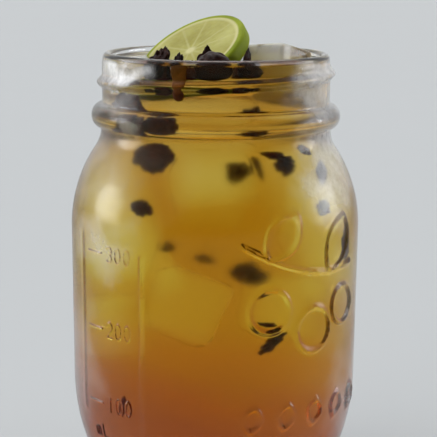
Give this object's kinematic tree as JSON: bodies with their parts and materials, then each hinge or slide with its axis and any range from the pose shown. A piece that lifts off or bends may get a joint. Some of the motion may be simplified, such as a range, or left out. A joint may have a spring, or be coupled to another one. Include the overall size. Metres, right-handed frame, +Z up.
{
  "type": "iced cascara tea in a glass jar",
  "caption": "Iced coffee cherry tea in a clear preserving jar, filled to the rim, with sliced lime, ice and dried cherry husks at the top.",
  "frame": {"origin": "middle of the jar's footprint, on the surface it stands on", "axes": "+Z up the axis of the jar; -Y is the front, with the volume scale to the left of it and the sprig to the right"},
  "size_m": [0.0828, 0.0828, 0.1364],
  "materials": {
    "jar_glass": "clear glass with a fine mist of condensation",
    "tea": "clear amber liquid, rose brown near the bottom",
    "lime": "wet pale green flesh with a green peel",
    "ice": "clear wet ice",
    "husk": "wet wrinkled dark fruit skin"
  },
  "bodies": {
    "root": {"jar": "jar_glass", "tea": "tea", "lime_slice": "lime", "ice_cube": "ice", "cascara_husk_left_tall": "husk", "cascara_husk_left_low": "husk", "cascara_husk_round": "husk", "cascara_husk_pointed": "husk", "cascara_husk_almond": "husk", "cascara_husk_flake": "husk"}
  },
  "joints": []
}
